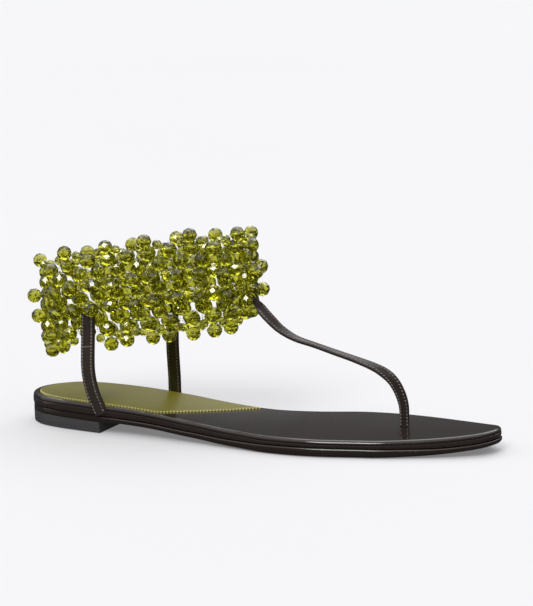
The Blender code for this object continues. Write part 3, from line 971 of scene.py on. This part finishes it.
@dataclass
class Strap:
    """A flat stitched strap, two leathers sewn together along both edges."""

    name: str
    node: str
    facing: Facing
    path: tuple[tuple[float, ...], ...]       # X, Y, Z, and for UPWARD the degrees turned sideways
    column: float                             # of the cuff, where the strap ends
    levels: tuple[tuple[float, float], ...]   # level on the cuff, distance out from it
    width: float
    thickness: float
    cuff: CuffPlan
    side: float = 1.0             # 1 on the medial side, -1 on the lateral side
    swing: float = 0.0            # degrees that the face turns to the heel at the sole
    tack: float | None = None     # height of the stitches across
    corner: float = 0.6           # radius of the edges
    groove: float = 0.14          # depth of a seam's groove
    groove_width: float = 0.3
    crown: float = 0.10           # how far the face falls towards its edges
    turn_height: float = 35.0     # over which the face turns to the cuff
    step: float = 0.8             # between cross-sections
    stitch: float = 1.15          # length of a stitch
    girth: float = 0.3            # its radius
    pitch: float = 1.7            # from stitch to stitch
    sunk: float = 0.12            # depth of its middle below the face
    tack_sunk: float = 0.02
    tack_gap: float = 0.4         # between the tack and a seam
    margin: float = 1.05          # between seam and edge
    slant: float = 32.0           # degrees between a stitch and its seam
    bare: float = 6.0             # length without stitches at the sole
    bare_end: float = 1.5         # and at the cuff
    root_width: float = 1.0       # share of the width at the sole
    root_run: float = 22.0        # length over which it changes
    tip_width: float = 1.0        # share of the width at the cuff
    tip_run: tuple[float, float] = (9.0, 3.0)   # lengths from the tip between which it changes
    tip_turn: float = 0.0         # degrees that the face turns sideways at the cuff

    def frames(self) -> tuple[Array, Array, Array, Array]:
        """Points along the strap with their directions along it, across it and out of its face.

        Returns:
            Points, and three sets of unit vectors.
        """
        levels, out = np.array(self.levels).T
        column = np.full_like(levels, self.column)
        top = self.cuff.point(column, levels, out)
        path = np.array(self.path)
        if self.facing is Facing.UPWARD:
            top = np.column_stack((top, np.full(len(top), self.tip_turn)))
        rows = spline(np.vstack((path, top)), self.step)
        points = rows[:, :3]
        along = unit(np.gradient(points, axis=0))
        if self.facing is Facing.SIDEWAYS:
            way_up = np.clip((points[:, 2:] - points[0, 2]) / self.turn_height, 0, 1)
            swing = math.radians(self.swing)
            face = ((1 - way_up) * (-math.sin(swing), self.side * math.cos(swing), 0.0)
                    + way_up * self.cuff.normal(np.array([self.column])))
        else:
            sideways = np.tile((0.0, 1.0, 0.0), (len(points), 1))
            upward = np.cross(along, sideways)
            upward *= np.sign(upward[:, :1] + upward[:, 2:])
            turns = np.radians(rows[:, 3:])
            face = upward * np.cos(turns) - sideways * np.sin(turns)
        face = unit(face - along * np.sum(face * along, axis=1, keepdims=True))
        return points, along, np.cross(face, along), face

    def section(self) -> Array:
        """Cross-section: a bar with quarter-round corners and a shallow groove for each seam.

        Returns:
            Distances across and out, counted round the bar.
        """
        half, deep, corner = self.width / 2, self.thickness / 2, self.corner
        turn = np.linspace(0, math.pi / 2, 6)
        arc = np.stack((half - corner + corner * np.sin(turn),
                        deep - corner + corner * np.cos(turn)), axis=-1)
        flat = np.linspace(-(half - corner), half - corner, 25)[1:-1]
        seam = (np.abs(flat) - (half - self.margin)) / self.groove_width
        fall = self.groove * np.exp(-seam ** 2) + self.crown * (flat / half) ** 2
        top = np.stack((flat, deep - fall), axis=-1)
        upper = np.vstack(((arc * (-1, 1))[::-1], top, arc))
        return np.vstack((upper, upper[::-1] * (1, -1)))

    def shell(self) -> Shell:
        """The strap: its cross-section carried along the path and closed at both ends."""
        points, _, across, face = self.frames()
        section = self.section()
        steps = np.arange(len(points))[:, None] * self.step
        tip_from, tip_to = (steps[-1] - run for run in self.tip_run)
        wide = (1 - (1 - self.root_width) * (1 - ramp(steps, 0, self.root_run))
                - (1 - self.tip_width) * ramp(steps, tip_from, tip_to))
        rod = rods((points[:, None] + (across * wide)[:, None] * section[None, :, :1]
                    + face[:, None] * section[None, :, 1:])[None])
        # The mark is 1 on the strap's inner face, which takes a painted olive light from the glass
        # beads.
        inner = (section[:, 1] < 0.3 * self.corner - self.thickness / 2).astype(float)
        return Shell(rod.points, [block[:, ::-1] for block in rod.faces],
                     {"painted_bead_light": np.tile(inner, len(points))})

    def stitches(self) -> Shell:
        """Short rounded stitches in four rows, and a row across where the strap has a tack.

        A stitch is a six-sided rod along the seam, thinner at its ends, half sunk in the groove.

        Returns:
            All stitches as one shell.
        """
        points, *directions = self.frames()
        lengths = lengths_along(points)
        seam, deep = self.width / 2 - self.margin, self.thickness / 2

        def at(places: Array) -> list[Array]:
            """Points at lengths along the strap, with their three directions."""
            return [rows_at(rows, lengths, places) for rows in (points, *directions)]

        end = lengths[-1] - self.bare_end
        spot, along, across, face = at(np.arange(self.bare, end, self.pitch))
        slanting = along + math.tan(math.radians(self.slant)) * across
        rows = [(spot + across * place + face * side * (deep - self.sunk), slanting, face * side)
                for place in (seam, -seam) for side in (1.0, -1.0)]
        if self.tack is not None:
            spot, _, across, face = at(np.interp([self.tack], points[:, 2], lengths))
            places = np.linspace(-1, 1, 4)[:, None] * (seam - self.tack_gap)
            rows.append((spot + face * (deep - self.tack_sunk) + across * places,
                         np.repeat(across, 4, axis=0), np.repeat(face, 4, axis=0)))
        seat, way, out = (np.vstack(column) for column in zip(*rows))
        way, out = unit(way), unit(out)
        ring = np.linspace(0, 2 * math.pi, 6, endpoint=False)
        stations = np.array([-1.0, -0.8, 0.0, 0.8, 1.0]) * self.stitch / 2
        girth = np.array([0.35, 0.85, 1.0, 0.85, 0.35])[:, None] * self.girth
        wide, high = ((girth * turn)[None, :, :, None] for turn in (np.cos(ring), np.sin(ring)))
        return rods(seat[:, None, None] + way[:, None, None] * stations[None, :, None, None]
                    + np.cross(out, way)[:, None, None] * wide + out[:, None, None] * high)

    def build(self, leather: bpy.types.Material, thread: bpy.types.Material) -> None:
        """Make the strap and its stitches and dress them."""
        make_piece(self.name, self.shell(), leather, self.node, sharp=60.0)
        make_piece(self.name + "_stitches", self.stitches(), thread, sharp=80.0)


@dataclass
class BeadCuff:
    """The ankle cuff: beads woven into square cells, raised beads on the knots, edge beads."""

    plan: CuffPlan
    main: float = 8.0             # across the corners; about 7.4 across the flats
    small: float = 5.0
    raised_size: float = 0.96     # size of the raised beads over the main ones
    edge_size: float = 0.97       # and of the large edge beads
    stretch: float = 1.08         # woven beads are a little longer along their thread
    raised_out: float = 5.6       # of the raised beads from the woven layer
    raised_play: float = 0.7
    raised_sag: float = 0.6
    edge_drop: float = 7.8        # of the large edge beads below the bottom row
    edge_rise: float = 6.6        # and above the top row, where they lean outwards
    edge_out: tuple[float, float] = (1.0, 3.0)   # below and above
    edge_play: float = 0.5
    small_drop: float = 3.9       # of the small edge beads from the rim
    small_shift: float = 0.43     # and along it, in columns
    small_out: float = 0.3
    wobble: float = 0.06          # of a bead's axis
    nudge: float = 0.16           # of its middle
    unlike: float = 0.02          # share that its size differs by
    thread: float = 0.1           # radius
    sides: int = 8                # facets around a bead
    stride: int = 4               # half columns between edge loops
    slide: float = 0.62           # of the medial side's top edge along the band, in columns
    slide_in: tuple[float, float] = (10.8, 12.8)    # columns over which it sets in
    slide_out: tuple[float, float] = (21.5, 18.5)   # and ends
    strap_columns: tuple[float, ...] = (7.6, 16.67, -0.13)
    seed: int = 11

    def __post_init__(self) -> None:
        """Start the one source of random numbers, in a fixed order."""
        self.random = np.random.default_rng(self.seed)

    def template(self) -> tuple[Array, list[Faces]]:
        """One bead of radius 1 with its hole along X.

        Seven rings of corners lie on a sphere, each turned half a step against the last. A
        diamond-shaped facet stands on every two neighbours of a ring and reaches to the rings
        on both sides; at the equator the diamonds are square. Triangles close the two ends, and
        the wall of the hole joins them.

        Returns:
            Corners and faces.
        """
        lift = np.radians([-80.0, -46.0, -22.5, 0.0, 22.5, 46.0, 80.0])
        step = 2 * math.pi / self.sides
        ring = np.arange(self.sides) * step + (np.arange(7)[:, None] % 2 == 0) * step / 2
        corners = np.stack((np.broadcast_to(np.sin(lift)[:, None], ring.shape),
                            np.cos(lift)[:, None] * np.cos(ring),
                            np.cos(lift)[:, None] * np.sin(ring)), axis=-1)
        number = np.arange(7 * self.sides).reshape(7, self.sides)
        after = np.roll(number, -1, axis=1)
        between = np.where(np.arange(7)[:, None] % 2 == 0, number, after)
        diamonds = [np.stack((number[r], between[r - 1], after[r], between[r + 1]), axis=-1)
                    for r in range(1, 6)]
        ends = [np.stack((number[0], after[0], between[1]), axis=-1),
                np.stack((number[6], between[5], after[6]), axis=-1)]
        wall = np.stack((number[0], number[6], after[6], after[0]), axis=-1)
        return corners.reshape(-1, 3), [np.vstack((*diamonds, wall)), np.vstack(ends)]

    def beads(self, centres: Array, axes: Array, diameter: float,
              stretch: float = 1.0) -> Shell:
        """Beads at the centres, each turned at random about its hole and nudged a little.

        Args:
            centres: middles of the beads.
            axes: directions of their holes.
            diameter: their size across.
            stretch: length over diameter.
        Returns:
            All beads as one shell, with the mark tone for each bead's shade.
        """
        count = len(centres)
        axes = unit(axes + self.random.normal(0, self.wobble, (count, 3)))
        centres = centres + self.random.normal(0, self.nudge, (count, 3))
        radii = (diameter / 2 * self.random.normal(1.0, self.unlike, count))[:, None, None]
        spin = self.random.uniform(0, 2 * math.pi, count)[:, None]
        tone = self.random.uniform(0, 1, count)
        first, second = square_to(axes)
        one = first * np.cos(spin) + second * np.sin(spin)
        two = np.cross(axes, one)
        corners, faces = self.template()
        x, y, z = (corners[None, :, i:i + 1] for i in range(3))
        points = centres[:, None] + radii * (axes[:, None] * x * stretch + one[:, None] * y
                                             + two[:, None] * z)
        return Shell(points.reshape(-1, 3),
                     [repeated(block, count, len(corners)) for block in faces],
                     {"tone": np.repeat(tone, len(corners))})

    def cords(self, paths: Array) -> Shell:
        """Thin six-sided cords along short paths, closed at both ends.

        Args:
            paths: as many points for each path, in millimetres.
        Returns:
            All cords as one shell.
        """
        one, two = square_to(unit(np.gradient(paths, axis=1) + 1e-6))
        ring = np.linspace(0, 2 * math.pi, 6, endpoint=False)[:, None]
        return rods(paths[:, :, None] + self.thread * (one[:, :, None] * np.cos(ring)
                                                       + two[:, :, None] * np.sin(ring)))

    def column(self, half: Array) -> Array:
        """Columns of half-column numbers."""
        return half / 2 + self.plan.phase

    def lag(self, column: Array, level: Array) -> Array:
        """How far the slack medial side slides along the band, more towards the top."""
        column = column % self.plan.columns
        return self.slide * ramp(column, *self.slide_in) * ramp(column, *self.slide_out) * level

    def pairs(self, halves: Array, rows: Array) -> tuple[Array, Array]:
        """Every half column with every row, as two long arrays."""
        half, row = np.meshgrid(halves, rows, indexing="ij")
        return half.ravel(), row.ravel()

    def woven(self) -> tuple[Shell, Shell]:
        """The woven layer: beads along the band between knots, and upright beads between rows.

        Returns:
            The beads and the thread through them.
        """
        top = 2 * self.plan.rows
        half, row = self.pairs(np.arange(2.0 * self.plan.columns), np.arange(top + 1))
        is_bead = (half + row) % 2 == 1
        half, row = half[is_bead], row[is_bead]
        level = row / top
        column = self.column(half) + self.lag(self.column(half), level)
        centres = self.plan.point(column, level)
        lying = (row % 2 == 0)[:, None]
        before, after = (np.where(lying, self.plan.point(column + way / 2, level),
                                  self.plan.point(column, level + way / top)) for way in (-1, 1))
        shell = self.beads(centres, after - before, self.main, self.stretch)
        return shell, self.cords(np.stack((before, centres, after), axis=1))

    def raised(self) -> tuple[Shell, Shell]:
        """Raised beads outside the knots of the inner rows, each on its own loop of thread.

        Returns:
            The beads and their thread.
        """
        top = 2 * self.plan.rows
        half, row = self.pairs(np.arange(0, 2 * self.plan.columns, 2.0), np.arange(2, top, 2))
        column, level = self.column(half), row / top
        knots = self.plan.point(column, level)
        lean = self.random.normal(0, self.raised_play, knots.shape) - (0.0, 0.0, self.raised_sag)
        centres = self.plan.point(column, level, self.raised_out) + lean
        slant = self.random.uniform(-1, 1, len(half))[:, None]
        axes = self.plan.along(column) + slant * (0.0, 0.0, 1.0)
        shell = self.beads(centres, axes, self.main * self.raised_size)
        reach = unit(axes) * self.main / 2
        loop = (knots, centres - reach, centres, centres + reach, knots)
        return shell, self.cords(np.stack(loop, axis=1))

    def edges(self) -> tuple[Shell, Shell]:
        """Edge beads on every other rim bead: small, large, small on a loop of thread.

        Below the cuff there is no loop where a strap hangs.

        Returns:
            The beads and their thread.
        """
        around = 2.0 * self.plan.columns
        low, high = np.arange(3.0, around, self.stride), np.arange(1.0, around, self.stride)
        apart = self.column(low)[:, None] - np.array(self.strap_columns)
        apart = np.abs((apart + 1) % self.plan.columns - 1)
        low = low[apart.min(axis=1) > 0.5]
        column = self.column(np.concatenate((low, high)))
        level = np.repeat((0.0, 1.0), (len(low), len(high)))
        above = level > 0
        down = np.where(above, 1.0, -1.0)[:, None] * (0.0, 0.0, 1.0)
        drop = np.where(above, self.edge_rise, self.edge_drop)[:, None]
        middle = self.plan.point(column, level, np.where(above, *self.edge_out[::-1])) + drop * down
        middle = middle + self.random.normal(0, self.edge_play, middle.shape)
        sides = [self.plan.point(column + shift, level, self.small_out) + self.small_drop * down
                 for shift in (-self.small_shift, self.small_shift)]
        knots = [self.plan.point(column + shift, level) for shift in (-0.5, 0.5)]
        along = self.plan.along(column)
        shells = [self.beads(middle, along, self.main * self.edge_size)]
        shells += [self.beads(side, middle - side, self.small) for side in sides]
        reach = along * self.main / 2
        loop = (knots[0], sides[0], middle - reach, middle + reach, sides[1], knots[1])
        return Shell.joined(shells), self.cords(np.stack(loop, axis=1))

    def build(self) -> None:
        """Make the beads and their thread and dress them."""
        glass, nylon = CutGlass().build(), NylonLine().build()
        layers = [("woven_beads", "bead_cuff", *self.woven()),
                  ("raised_beads", None, *self.raised()), ("edge_beads", None, *self.edges())]
        for name, node, beads, _ in layers:
            make_piece(name, beads, glass, node, Shading.FACETED)
        make_piece("bead_thread", Shell.joined([thread for *_, thread in layers]), nylon,
                   sharp=80.0)


@dataclass
class Upper:
    """The three straps and the bead cuff that they carry."""

    cuff: CuffPlan

    def straps(self) -> list[Strap]:
        """The straps with their paths from the sole up to the cuff."""
        lateral = ((-76.9, -27.1, 10.2), (-78.7, -27.3, 14.5), (-81.6, -27.0, 20.6),
                   (-84.3, -25.9, 28.5), (-85.8, -24.3, 36.6))
        medial = ((-59.0, 28.1, 9.3), (-59.8, 28.4, 13.5), (-60.1, 28.6, 20.4),
                  (-60.5, 28.4, 28.2), (-60.8, 27.8, 37.7))
        thong = ((75.2, 11.9, 4.4, 90.0), (75.1, 11.9, 12.2, 90.0), (74.6, 11.8, 19.6, 90.0),
                 (72.0, 11.3, 27.2, 84.0), (67.6, 10.5, 33.4, 62.0), (60.5, 9.5, 37.9, 26.0),
                 (49.9, 8.2, 41.7, 10.0), (39.1, 7.0, 44.9, 5.0), (28.9, 5.8, 48.0, 2.0),
                 (18.1, 4.8, 51.1, 8.0), (10.1, 4.1, 55.4, 22.0), (4.1, 3.6, 60.7, 38.0))
        on_side = ((0.0, 4.95), (0.11, 4.95), (0.25, 4.95))
        on_front = ((0.03, 5.2), (0.1, 3.3), (0.16, 1.2), (0.2, -1.0))
        return [
            Strap("lateral_strap", "side_strap_lateral", Facing.SIDEWAYS, lateral, 7.6, on_side,
                  7.4, 2.6, self.cuff, side=-1.0, swing=12.0, tack=44.0, bare=2.0),
            Strap("medial_strap", "side_strap_medial", Facing.SIDEWAYS, medial, 16.67, on_side,
                  6.8, 2.2, self.cuff, side=1.0, tack=44.0, bare=2.0),
            Strap("toe_thong", "thong_strap", Facing.UPWARD, thong, -0.13, on_front,
                  5.6, 1.8, self.cuff, bare=5.0, bare_end=7.0, root_width=0.82, tip_width=0.62,
                  tip_turn=46.0),
        ]

    def build(self) -> None:
        """Make the straps, then the cuff."""
        # The dark olive second colour on the straps' inner faces is painted light from the glass
        # beads.
        leather = Leather("brown_strap_calf", "#25201d", "#302825", 0.28, 0.1, depth=0.035,
                          shine=0.16, gloss=0.08, second="#2f2b12", mark="painted_bead_light").build()
        thread = Thread("waxed_linen_thread", "#857d74", "#5c544d", 0.4).build()
        for strap in self.straps():
            strap.build(leather, thread)
        BeadCuff(self.cuff).build()


@dataclass
class Studio:
    """Floor, light and camera. Lengths are in metres, angles in degrees."""

    floor_half: float = 15.0
    floor_drop: float = 0.0002    # below the sole, so that the two don't share a plane
    azimuth: float = 22.45        # of the camera, from the lateral side towards the toe
    elevation: float = 10.57
    distance: float = 2.3
    target: tuple[float, float, float] = (0.0, 0.002, 0.04)    # what the camera goes round
    aim: tuple[float, float, float] = (0.003, 0.002, 0.069)    # what it looks at
    lens: float = 266.0
    far: float = 100.0
    wall: float = 0.07            # strength of the light from the walls
    ceiling: float = 1.11         # and from the ceiling
    cornice: tuple[float, float] = (0.15, 0.8)   # heights between which one becomes the other
    suns: tuple[tuple[str, float, float, float, float], ...] = (
        ("key", 5.0, 38.0, 26.0, 1.9),
        ("rim", 190.0, 55.0, 60.0, 1.15),
        ("fill", -75.0, 12.0, 50.0, 0.3),
    )                             # name, azimuth, elevation, spread, and watts a square metre

    def towards(self, azimuth: float, elevation: float) -> Vector:
        """Direction from the sandal to a place that stands at those angles."""
        a, e = math.radians(azimuth), math.radians(elevation)
        return Vector((math.sin(a) * math.cos(e), -math.cos(a) * math.cos(e), math.sin(e)))

    def build_camera(self) -> None:
        """A long lens at the photograph's angle, aimed so that the shoe fills the frame."""
        data = bpy.data.cameras.new("camera")
        data.lens = self.lens
        data.clip_end = self.far
        camera = add_object("camera", data)
        back = self.towards(self.azimuth, self.elevation)
        camera.location = Vector(self.target) + back * self.distance
        camera.rotation_mode = "QUATERNION"
        view = Vector(self.aim) - camera.location
        camera.rotation_quaternion = view.to_track_quat("-Z", "Y")
        bpy.context.scene.camera = camera

    def build_floor(self) -> None:
        """A wide plain floor, which lights the pieces but isn't mirrored in them."""
        half = self.floor_half
        mesh = bpy.data.meshes.new("floor")
        corners = np.array([(-half, -half), (half, -half), (half, half), (-half, half)])
        points = np.column_stack((corners, np.full(4, -self.floor_drop)))
        mesh.from_pydata(points.tolist(), [], [(0, 1, 2, 3)])
        mesh.materials.append(LitTable().build())
        floor = add_object("floor", mesh)
        floor.visible_glossy = False

    def add_sun(self, name: str, azimuth: float, elevation: float, spread: float,
                strength: float) -> None:
        """A soft parallel light, which lights the whole floor evenly.

        Args:
            name: its name.
            azimuth: where it stands, in degrees counted as the camera's azimuth is.
            elevation: its height in degrees.
            spread: the angle that it fills, in degrees.
            strength: watts on a square metre.
        """
        data = bpy.data.lights.new(name, "SUN")
        data.angle = math.radians(spread)
        data.energy = strength
        light = add_object(name, data)
        light.rotation_mode = "QUATERNION"
        light.rotation_quaternion = self.towards(azimuth, elevation).to_track_quat("Z", "Y")

    def build_light(self) -> None:
        """A bright ceiling over dark walls, and three soft lights for the highlights."""
        world = bpy.data.worlds.new("studio")
        bpy.context.scene.world = world
        world.use_nodes = True
        tree = world.node_tree
        place = add_node(tree, "ShaderNodeTexCoord").outputs["Generated"]
        height = add_node(tree, "ShaderNodeSeparateXYZ", {0: place}).outputs["Z"]
        low, high = self.cornice
        strength = add_node(tree, "ShaderNodeMapRange", {
            "Value": height, "From Min": low, "From Max": high, "To Min": self.wall,
            "To Max": self.ceiling}, interpolation_type="SMOOTHSTEP")
        feed(tree, tree.nodes["Background"], {
            "Color": linear(WHITE), "Strength": strength.outputs["Result"]})
        for sun in self.suns:
            self.add_sun(*sun)

    def build(self) -> None:
        """Set the stage."""
        bpy.context.scene.view_settings.view_transform = "Standard"
        self.build_camera()
        self.build_floor()
        self.build_light()


def main() -> None:
    """Build the studio and the sandal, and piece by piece."""
    logging.basicConfig(level=logging.INFO, format="%(name)s %(message)s")
    Studio().build()
    sole = Sole(Last())
    sole.build()
    HeelSock(sole).build()
    Upper(CuffPlan()).build()
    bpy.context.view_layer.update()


if __name__ == "__main__":
    main()
